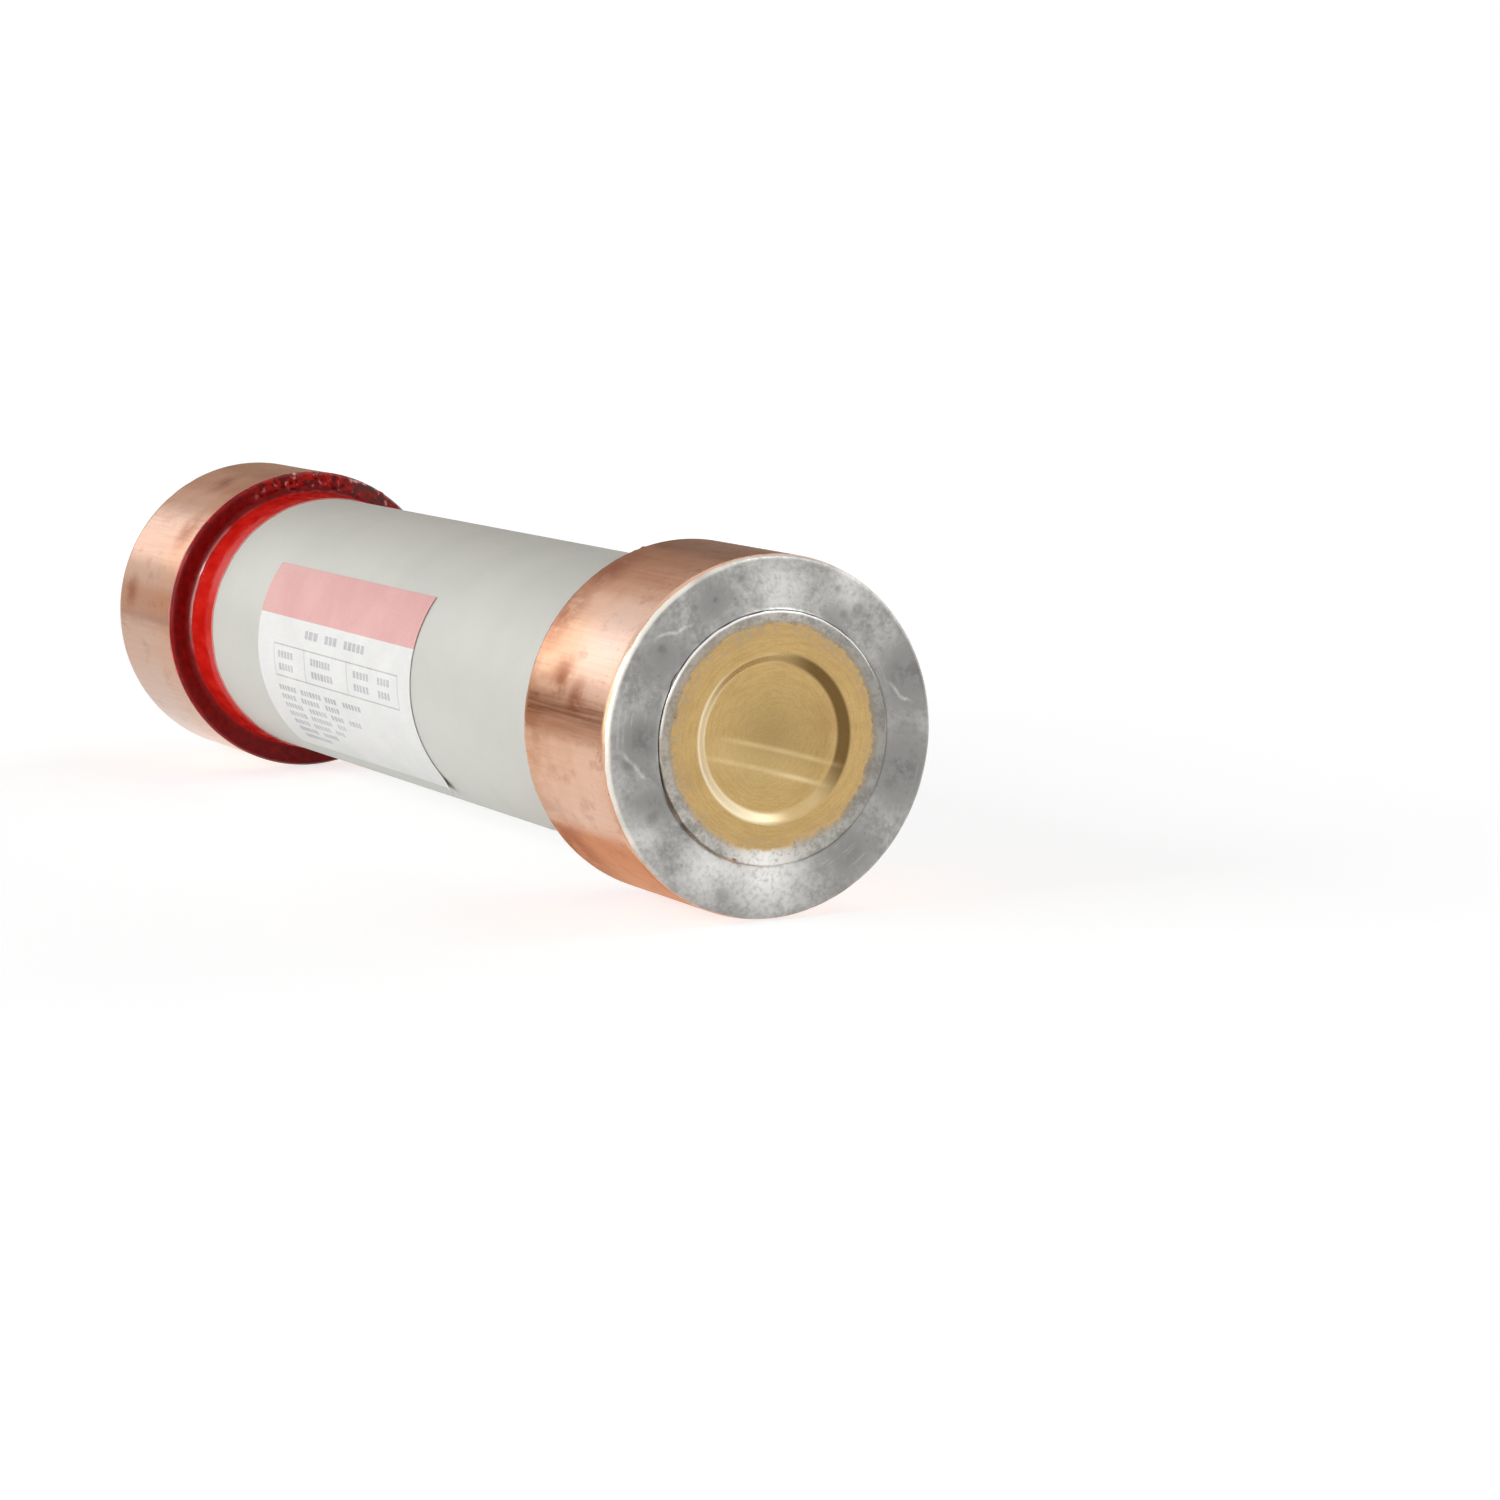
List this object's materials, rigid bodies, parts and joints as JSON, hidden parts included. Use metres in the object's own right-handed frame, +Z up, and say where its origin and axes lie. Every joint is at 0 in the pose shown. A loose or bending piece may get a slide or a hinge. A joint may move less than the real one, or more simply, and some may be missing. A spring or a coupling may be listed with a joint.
{
  "type": "cartridge fuse-link",
  "caption": "Sand-filled porcelain cartridge fuse-link with copper end caps, soldered brass closing discs, red sealing lacquer and silver strips wound on a ribbed ceramic core.",
  "frame": {"origin": "middle of the fuse-link, on its axis", "axes": "+X along the axis towards the front end, +Z up, with the label on the -Y side"},
  "size_m": [0.2134, 0.055, 0.055],
  "materials": {
    "porcelain": "smooth light warm grey, satin",
    "label_paper": "white paper with a pink upper band",
    "copper": "bare copper, brushed and lightly tarnished",
    "solder": "wiped tin-lead solder, dull grey",
    "brass": "bare pressed brass sheet",
    "red_lacquer": "glossy red sealing lacquer, brushed on",
    "cement": "grey cement",
    "gasket_fibre": "dark fibre gasket",
    "core_ceramic": "unglazed cream ceramic",
    "silver": "silver strip",
    "sand": "packed quartz sand"
  },
  "bodies": {
    "root": {"fuse_tube": "porcelain", "rating_label": "label_paper", "ceramic_core": "core_ceramic", "tin_spots": "solder", "quartz_sand": "sand", "front_end_cap": "copper", "front_tinned_face": "solder", "front_closing_disc": "brass", "front_solder_ring": "solder", "front_cap_cement": "cement", "front_sealing_lacquer": "red_lacquer", "front_gasket": "gasket_fibre", "front_contact_cup": "copper", "rear_end_cap": "copper", "rear_tinned_face": "solder", "rear_closing_disc": "brass", "rear_solder_ring": "solder", "rear_cap_cement": "cement", "rear_sealing_lacquer": "red_lacquer", "rear_gasket": "gasket_fibre", "rear_contact_cup": "copper", "fuse_strip_1": "silver", "fuse_strip_2": "silver", "fuse_strip_3": "silver", "fuse_strip_4": "silver"}
  },
  "joints": []
}
